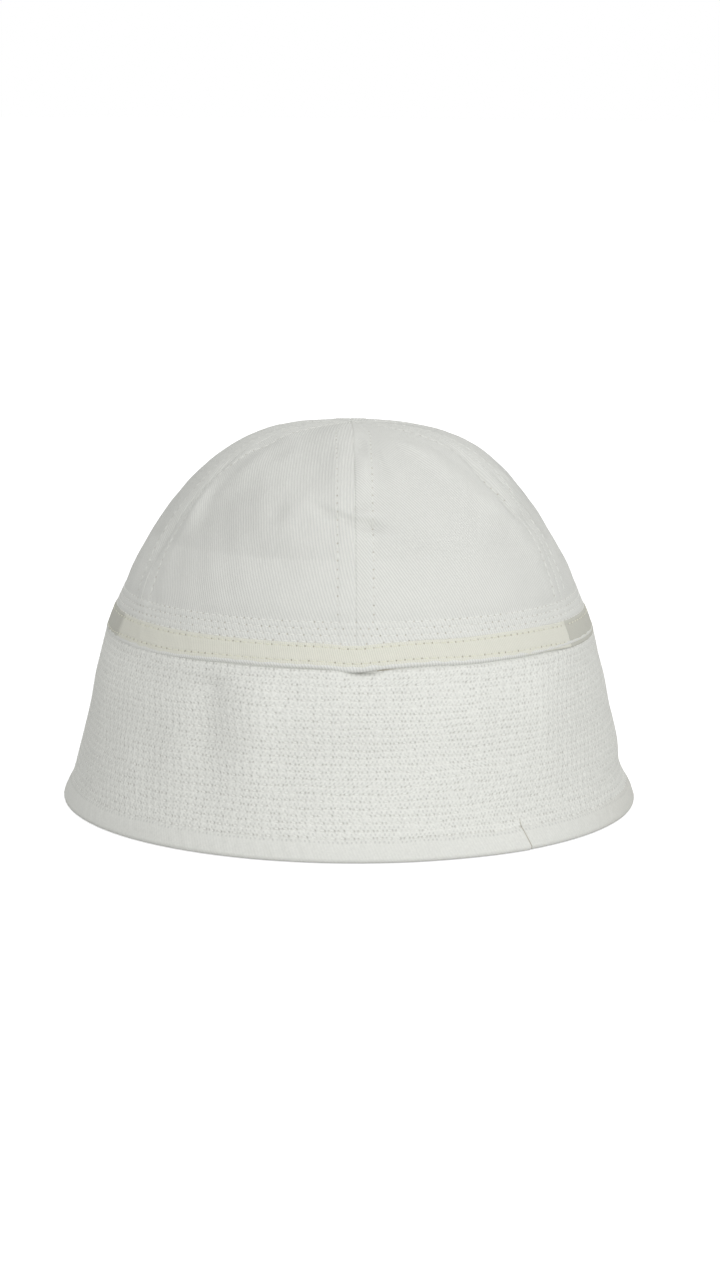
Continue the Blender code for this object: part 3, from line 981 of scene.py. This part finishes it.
def ribbon(cloth):
    """Cream tape round the crown's base, butted at its joint, in slight shade beyond it."""
    azimuth = ring_azimuths(RIBBON_JOINT, 640)[None, :]
    rows = [length_at(rise) for rise in RIBBON_ROWS]
    knots = [RIBBON_TOP_LENGTH, *rows, length_at(RIBBON_BOTTOM)]
    length = stations(knots, (0.0004,) * 3)[:, None]
    tuck = -0.00022 * hill(np.minimum(length - knots[0], knots[-1] - length) * 1000, 0.18)
    away = np.stack([np.abs(length - row) for row in rows])
    phase = np.array(RIBBON_PHASES)[away.argmin(0)]
    weave = weave_grid(arc(azimuth) * HALF_WIDTH * 1000, -length * 1000)
    turn = turned(azimuth)
    light = smooth(turn, RIBBON_LIGHT_START - 1.5, RIBBON_LIGHT_START + 1.5)
    light = light * (turn < math.degrees(RIBBON_JOINT))
    # painted shade darkens the ribbon further on the left as the hat is seen from the front
    tone = 1 - RIBBON_SHADE * (1 - light) - 0.04 * plateau(-turn, 45, 68, 90, 150)
    front = side(ribbon_surface(azimuth, length, tuck), weave, azimuth * RIBBON_TURNS / math.tau + phase,
                 away.min(0) * 1000, tone=tone)
    coarse = ring_azimuths(RIBBON_JOINT, 160)[None, :]
    level = np.linspace(knots[0], knots[-1], 4)[:, None]
    form = crown_form(coarse, level)
    back = place(coarse, *section(ribbon_place(coarse, level)[0], 0.00005 + form))
    cloth_piece("ribbon_tape", front, side(back, weave[:1, :1]), cloth, "ribbon_twill", "ribbon_band")


def ribbon_stitch_rows():
    """The ribbon's two stitch rows, from one side of its joint to the other."""
    first, last = ring_azimuths(RIBBON_JOINT, 1) * RIBBON_TURNS / math.tau
    rows = []
    for rise, phase in zip(RIBBON_ROWS, RIBBON_PHASES):
        count = np.arange(math.ceil(first + phase), math.floor(last + phase) + 1)
        azimuth = (count - phase) * math.tau / RIBBON_TURNS
        rows.append(sewn_row(ribbon_surface, azimuth, length_at(rise) + 0 * azimuth))
    return rows


def inner_band(name, low, high, depth, thickness, cloth, slot, node, count, wave=0.0):
    """A band inside the crown. Its inner face is the one that shows."""
    top, bottom = length_at(high), length_at(low)

    def face(azimuth, length, under):
        soft = wave * smooth(length, bottom, top) * wander(azimuth, length, 61, (5, 13), (0.2, 0.4))
        return crown_shape(azimuth, length, soft - under)
    azimuth = ring_azimuths(BACK_JOINT, count)[None, :]
    length = stations([top, top + 0.0008, bottom], (0.0004, 0.0012))[:, None]
    round_off = 0.00025 * hill((length - top) * 1000, 0.35)
    weave = weave_grid(arc(azimuth) * HALF_WIDTH * 1000, -length * 1000)
    inside = side(face(azimuth, length, depth + thickness - round_off), weave)
    outside = side(face(azimuth[:, ::3], np.linspace(top, bottom, 12)[:, None], depth), weave[:1, :1])
    cloth_piece(name, inside, outside, cloth, slot, node)


# ---- seam tapes ---------------------------------------------------------
TAPE_STEP = 0.0015          # between a tape's grid rows


def tape_points(seam, lengths, offsets, out):
    """Points on a tape inside the crown, to each side of the seam that it covers."""
    length, offset = lengths[:, None], offsets[None, :]
    azimuth = seam_azimuth(seam, length) + np.arctan2(offset, section(length, 0.0)[0])
    return crown_shape(azimuth, np.hypot(length, offset * (1 - base_share(length))), out[None, :])


def seam_tape(name, seams, start, cloth):
    """A tape under one seam, or under two seams that meet at the crown's centre."""
    end = length_at(0.0063)
    offsets = stations([-TAPE_HALF_WIDTH, -TOPSTITCH, TOPSTITCH, TAPE_HALF_WIDTH], (0.0004, 0.0010, 0.0004))
    lengths = np.linspace(start, end, round((end - start) / TAPE_STEP))
    dent = 0.00012 * hill((np.abs(offsets) - TOPSTITCH) * 1000, 0.4)
    sides = []
    for out in (-TWILL - GAP - TAPE + dent, -TWILL - GAP + 0 * dent):
        grids = [tape_points(seams[-1], lengths, offsets, out)]
        if len(seams) == 2:
            grids.insert(0, tape_points(seams[0], lengths[::-1], -offsets, out[::-1]))
        sides.append(np.concatenate(grids))
    along = np.arange(len(sides[0]))[:, None] * TAPE_STEP
    weave = weave_grid(offsets * 1000, along * 1000)
    inside = side(sides[0], weave, along / STITCH, np.abs(np.abs(offsets) - TOPSTITCH) * 1000)
    cloth_piece(name + "_cloth", inside, side(sides[1], weave), cloth, "seam_tape", name)


# ---- brim ---------------------------------------------------------------
QUILT_STEPS = 5             # grid rows from one quilting row to the next
QUILT_TURNS = math.tau * brim_radius(QUILT_HEIGHTS) * GIRTH / STITCH
QUILT_COUNT = round(QUILT_TURNS.mean())
QUILT_PHASES = np.cumsum(np.random.RandomState(5).normal(0.06, 0.14, QUILT_ROWS))
RIM_TOP = 0.0014            # where the rim starts to round under
RIM_STEPS = 8
OUTER_ROUND = 104           # mm round the outer brim cloth for each radian, along its weave
BEHIND_LIP = np.array((0.0010, 0.0005, 0.0, -0.0003, -0.0006))  # brim rows beside the base seam


def quilt_run(azimuth, height):
    """Stitch count along the quilting. Its rows step together in front and drift apart at the sides."""
    extra, phase = (np.interp(-height, -QUILT_HEIGHTS, values)
                    for values in (QUILT_TURNS - QUILT_COUNT, QUILT_PHASES))
    from_front = azimuth / math.tau - smooth(azimuth, math.radians(110), math.radians(250))
    feed = 0.30 * wander(azimuth, height, 22, (2, 9), (0.018, 0.06), 8)
    return azimuth * QUILT_COUNT / math.tau + from_front * extra + phase + feed


def brim_heights():
    """Heights of the brim's grid rows, with one on each quilting row."""
    quilted = np.linspace(QUILT_TOP, HEM, (QUILT_ROWS - 1) * QUILT_STEPS + 1)
    return np.concatenate([BASE_HEIGHT + BEHIND_LIP, quilted, np.linspace(HEM, RIM_TOP, 17)[1:]])[:, None]


def rim_round(radius, width, bottom, direction):
    """Radius and height of points under the rim, from its outer side to its inner side."""
    angle = np.linspace(0, math.pi, RIM_STEPS + 1)[1:, None]
    depth = width / 2 * (1 - np.cos(angle))
    return radius - direction * depth, bottom + (RIM_TOP - bottom) * (1 - np.sin(angle) ** 0.7)


def shown_side(parts, azimuth, height, across, rises, turned_in, tone=1.0):
    """The side of a brim cloth that shows: tucked into the crown, quilted, rounded and turned in."""
    pad = ((len(parts[0]), len(parts[2]) + len(parts[3])), (0, 0))
    row = np.clip(np.round((QUILT_TOP - height) / QUILT_STEP), 0, QUILT_ROWS - 1).astype(int)
    off = np.broadcast_to(np.abs(height - QUILT_HEIGHTS[row]) * 1000, azimuth.shape)
    run, across, tone = (np.pad(np.broadcast_to(mark, azimuth.shape), pad, mode="edge")
                         for mark in (quilt_run(azimuth, height), across, tone))
    under = np.linspace(0, -0.004, RIM_STEPS)[:, None]
    down = np.concatenate([BASE_HEIGHT + rises, height, under, turned_in])
    return side(np.concatenate(parts), weave_grid(across, down * 1000), run,
                np.pad(off, pad, constant_values=NO_ROW), tone=tone)


def hidden_side(shown, levels, count, rises, depths, rim):
    """The other side, on few points: under the crown, down the wall, round the rim and up the fold."""
    coarse, last = brim_azimuths(levels, count), brim_azimuths(0.0, count)
    tucked, wall, fold = depths
    rim_depth, rim_height = rim
    parts = [inside_crown(coarse[:1], rises, tucked), under_brim(coarse, levels, wall),
             place(last, brim_radius(0.001) - rim_depth + 0 * last, rim_height + 0 * last),
             under_brim(last, levels[:4:-1], fold)]
    return side(np.concatenate(parts), shown["uv"][:1, :1])


def column(*values):
    """A column of values, for a grid whose columns run round the hat."""
    return np.array(values)[:, None]


def brim_tone(azimuth, height):
    """Tone of the brim: painted shade in the crevice under the lip, painted light and shade from its form,
    painted shade on its right, darker at its hem, and painted shade along the hem's lapped seam.
    """
    turn, gape = turned(azimuth), front_gape(azimuth)
    # painted shade in the crevice under the crown's lip, deepest where the lip stands off the brim in front
    painted_shade = 0.04 + 0.09 * hill(turn, 22) + 0.37 * gape
    tone = 1 - painted_shade * smooth(height, BASE_HEIGHT - 0.0007 - 0.0009 * gape, BASE_HEIGHT - 0.0002)
    # painted light and shade from the form, and painted shade on the brim's right side
    tone = tone + painted_form_light(brim_form(azimuth, height)) - 0.04 * plateau(turn, 30, 75, 120, 170)
    hem = 1 - smooth(height, HEM - 0.0004, HEM + 0.0006)
    # darker hem, with painted shade along the lapped edge of its seam
    return tone - hem * (0.07 + 0.17 * hill(seam_distance(azimuth, height), 0.00022))


def brim_outer(cloth):
    """Outer brim cloth: quilted in rings, and turned in at the rim as a soft hem."""
    height = brim_heights()
    azimuth = brim_azimuths(height, 600)
    bottom = azimuth[-1:]
    rises = column(0.0060, 0.0040, 0.0020)
    soft = quilt_relief(bottom, RIM_TOP + 0 * bottom)
    radius = brim_radius(RIM_TOP) + brim_form(bottom, RIM_TOP) + brim_seam_relief(bottom, RIM_TOP) + soft
    parts = [inside_crown(azimuth[:1], rises, TWILL + GAP), brim_surface(azimuth, height),
             place(bottom, *rim_round(radius, 2 * BRIM_CLOTH + GAP + soft, 0.0, 1)),
             under_brim(bottom, column(0.0030, 0.0060, 0.0090), 2 * BRIM_CLOTH + GAP)]
    shown = shown_side(parts, azimuth, height, arc(azimuth) * OUTER_ROUND, rises,
                       column(-0.0060, -0.0090, -0.0120), brim_tone(azimuth, height))
    levels = column(BASE_HEIGHT, BASE_HEIGHT - 0.002, 0.045, 0.030, 0.016, 0.0095, 0.0055, 0.0020)
    depths = (TWILL + GAP + BRIM_CLOTH, BRIM_CLOTH, BRIM_CLOTH + GAP)
    hidden = hidden_side(shown, levels, 200, column(0.0060, 0.0030), depths, (BRIM_CLOTH + GAP / 2, 0.0009))
    cloth_piece("brim_outer_cloth", shown, hidden, cloth, "brim_twill", "brim_outer")


def facing_depth(height):
    """Depth of the under-brim cloth's visible face: deeper at the hem, which holds turned cloth."""
    upper = 2 * BRIM_CLOTH + INTERLINING + 2 * GAP
    blend = np.clip((0.0240 - height) / 0.0130, 0, 1)
    return upper + blend * (4 * BRIM_CLOTH + 3 * GAP - upper)


def facing_surface(azimuth, height):
    """Points on the face of the under-brim cloth that looks towards the head."""
    relief = 0.7 * quilt_relief(azimuth, height) + 0.7 * brim_seam_relief(azimuth, height)
    radius = brim_radius(height) + brim_form(azimuth, height) - facing_depth(height) - relief
    return place(azimuth, radius, quilt_height(azimuth, height) + GAP * smooth(-height, -0.004, 0.0))


def brim_facing(cloth):
    """Under-brim cloth, quilted with the outer cloth, its rim turned away from the head."""
    height = brim_heights()[len(BEHIND_LIP):]
    azimuth = brim_azimuths(height, 480)
    top, bottom = azimuth[:1], azimuth[-1:]
    rises = column(0.0060, 0.0030)
    depth = TWILL + 3 * GAP + 2 * BRIM_CLOTH + INTERLINING
    wall = facing_surface(azimuth, height)
    radius = np.linalg.norm(wall[-1:, :, :2] / (1, FRONT_BACK_RATIO), axis=-1)
    parts = [inside_crown(top, rises, depth), wall,
             place(bottom, *rim_round(radius, 2 * BRIM_CLOTH + GAP, GAP, -1)),
             under_brim(bottom, column(0.0050, 0.0090), 2 * BRIM_CLOTH + 2 * GAP)]
    shown = shown_side(parts, azimuth, height, arc(top) * BRIM_ROUND, rises, column(-0.0060, -0.0100))
    levels = column(BASE_HEIGHT - 0.002, 0.045, 0.030, 0.024, 0.016, 0.011, 0.0060, 0.0020)
    depths = (depth - BRIM_CLOTH, facing_depth(levels) - BRIM_CLOTH, 3 * BRIM_CLOTH + 2 * GAP)
    hidden = hidden_side(shown, levels, 160, rises, depths, (3 * BRIM_CLOTH + 2.5 * GAP, 0.0012))
    cloth_piece("brim_facing_cloth", shown, hidden, cloth, "brim_twill", "brim_facing")


def brim_interlining(cloth):
    """The stiff layer between the brim's two cloths. It is hidden, so it stays smooth."""
    azimuth = ring_azimuths(BRIM_SEAM, 120)[None, :]
    levels = column(BASE_HEIGHT - 0.002, 0.045, 0.030, 0.016, 0.0100)
    sides = []
    for depth in (BRIM_CLOTH + GAP, BRIM_CLOTH + GAP + INTERLINING):
        points = np.concatenate([inside_crown(azimuth, column(0.0057, 0.0030), TWILL + GAP + depth),
                                 under_brim(azimuth, levels, depth)])
        rows = np.linspace(60, 0, len(points))[:, None]
        sides.append(side(points, weave_grid(azimuth * BRIM_ROUND, rows)))
    cloth_piece("brim_interlining_layer", *sides, cloth, "interlining", "brim_interlining")


def quilting_rows(surface):
    """The quilting's stitch rows on one face of the brim."""
    rows = []
    fine = ring_azimuths(BRIM_SEAM, 4000)
    for height in QUILT_HEIGHTS:
        run = quilt_run(fine, height)
        azimuth = np.interp(np.arange(math.ceil(run[0]), math.floor(run[-1]) + 1), run, fine)
        rows.append(sewn_row(surface, azimuth, height + 0 * azimuth))
    return rows


# ---- camera, light and floor --------------------------------------------
CAMERA_DISTANCE = 1.30
CAMERA_TILT = math.radians(9.22)
CAMERA_ROLL = math.radians(0.4)
CAMERA_AIM = (0.0038, 0.0, 0.0597)
CAMERA_LENS = 95.3
LIGHT_DISTANCE = 1.6
LIGHT_SIZE = 1.2
LIGHT_AIM = 0.07            # height that the lights face
LIGHTS = (                  # name, azimuth and elevation in degrees, power in watts
    ("front_softbox", 5, 10, 8.6),
    ("side_softbox", 60, 40, 4.6),
    ("top_softbox", 0, 80, 2.5),
    ("back_softbox", 190, 10, 3.0),
)
SKY = 0.60                  # how strongly the sky lights the hat
FLOOR_GLOW = 0.75           # how strongly the floor glows where it is seen


def camera():
    """A long lens in front of the hat, looking down on it a little."""
    data = bpy.data.cameras.new("camera")
    data.lens = CAMERA_LENS
    data.clip_start, data.clip_end = 0.05, 60
    view = bpy.data.objects.new("camera", data)
    view.location = (CAMERA_AIM[0], CAMERA_AIM[1] - CAMERA_DISTANCE * math.cos(CAMERA_TILT),
                     CAMERA_AIM[2] + CAMERA_DISTANCE * math.sin(CAMERA_TILT))
    turn = Matrix.Rotation(math.pi / 2 - CAMERA_TILT, 3, "X") @ Matrix.Rotation(CAMERA_ROLL, 3, "Z")
    view.rotation_euler = turn.to_euler()
    bpy.context.scene.collection.objects.link(view)
    bpy.context.scene.camera = view


def softbox(name, azimuth, elevation, power):
    """A large square light that faces the hat."""
    data = bpy.data.lights.new(name, "AREA")
    data.shape, data.size, data.energy = "SQUARE", LIGHT_SIZE, power
    light = bpy.data.objects.new(name, data)
    a, e = math.radians(azimuth), math.radians(elevation)
    reach = LIGHT_DISTANCE * math.cos(e)
    light.location = (reach * math.sin(a), -reach * math.cos(a), LIGHT_AIM + LIGHT_DISTANCE * math.sin(e))
    light.rotation_euler = (math.pi / 2 - e, 0, a)
    bpy.context.scene.collection.objects.link(light)


def show_brighter(tree, socket, lighting, shown):
    """Let the studio's white background look brighter than it lights the hat."""
    seen = add_node(tree, "LightPath", {})["Is Camera Ray"]
    strength = add_node(tree, "MapRange", {"To Min": lighting, "To Max": shown, "Value": seen})
    tree.links.new(strength["Result"], socket)


def studio():
    """A pale floor under a pale sky, with large soft lights."""
    bpy.ops.mesh.primitive_circle_add(vertices=96, radius=30, fill_type="NGON", location=(0, 0, -0.0003))
    floor = bpy.context.object
    floor.name = "studio_floor"
    paper = bpy.data.materials.new("studio_paper")
    paper.use_nodes = True
    shader = paper.node_tree.nodes["Principled BSDF"]
    connect(paper.node_tree, shader, {"Base Color": (0.62, 0.62, 0.62, 1), "Roughness": 0.9,
                                      "Specular IOR Level": 0.0, "Emission Color": (1, 1, 1, 1)})
    show_brighter(paper.node_tree, shader.inputs["Emission Strength"], 0.0, FLOOR_GLOW)
    floor.data.materials.append(paper)
    world = bpy.data.worlds.new("studio_sky")
    world.use_nodes = True
    sky = world.node_tree.nodes["Background"]
    sky.inputs["Color"].default_value = (1, 1, 1, 1)
    show_brighter(world.node_tree, sky.inputs["Strength"], SKY, 1.0)
    bpy.context.scene.world = world
    for light in LIGHTS:
        softbox(*light)
    bpy.context.scene.view_settings.view_transform = "Standard"


# ---- the hat ------------------------------------------------------------
PANELS = ("front_right", "side_right", "back_right", "back_left", "side_left", "front_left")
SHORT_TAPES = {1: "front_right", 2: "back_right", 4: "back_left", 5: "front_left"}
WHITE = (0.779, 0.786, 0.747)
BRIM_WHITE = (0.819, 0.826, 0.782)
CREAM = (0.797, 0.795, 0.702)


def main():
    """Make every piece, then the lights and the floor."""
    camera()
    crown_cloth = twill_material("crown_twill_weave", WHITE, 0.17, 1.1, 0.60, open_shade=0.04)
    brim_cloth = twill_material("brim_twill_weave", BRIM_WHITE, 0.03, 0.35, 0.18, dash=QUILT_DASH)
    ribbon_cloth = ribbon_material("ribbon_weave", CREAM)
    tape_cloth = plain_material("seam_tape_weave", WHITE, 0.38)
    band_cloth = plain_material("sweatband_weave", (0.82, 0.81, 0.76), 0.46)
    stiff_cloth = plain_material("buckram_weave", (0.72, 0.70, 0.64), 0.9, 0.00015)
    thread = thread_material("white_thread", (0.87, 0.875, 0.835))
    seam_thread = thread_material("seam_thread", (0.80, 0.806, 0.765))
    cream_thread = thread_material("cream_thread", (0.79, 0.785, 0.66))

    for index, hand in enumerate(PANELS):
        crown_panel(index, "crown_panel_" + hand, crown_cloth)
    seam_tape("seam_tape_centre", (3, 0), 0.0005, tape_cloth)
    for seam, hand in SHORT_TAPES.items():
        seam_tape("seam_tape_" + hand, (seam,), TAPE_START, tape_cloth)
    inner_band("crown_base_stay_strip", STAY_BOTTOM, STAY_TOP, TWILL + TAPE + 2 * GAP, INTERLINING,
               stiff_cloth, "interlining", "crown_base_stay", 120)
    inner_band("sweatband_cloth", -LIP, BAND_TOP, TWILL + 2 * BRIM_CLOTH + INTERLINING + 4 * GAP, BAND,
               band_cloth, "sweatband_cotton", "sweatband", 420, 0.0006)
    ribbon(ribbon_cloth)
    brim_outer(brim_cloth)
    brim_facing(brim_cloth)
    brim_interlining(stiff_cloth)

    stitches("crown_topstitching", topstitch_rows(), seam_thread)
    stitches("crown_base_stitching", base_stitch_rows(), thread)
    stitches("ribbon_stitching", ribbon_stitch_rows(), cream_thread)
    stitches("brim_quilting_thread", quilting_rows(brim_surface), thread, QUILT_DASH)
    stitches("facing_quilting_thread", quilting_rows(facing_surface), thread, QUILT_DASH)
    studio()


main()
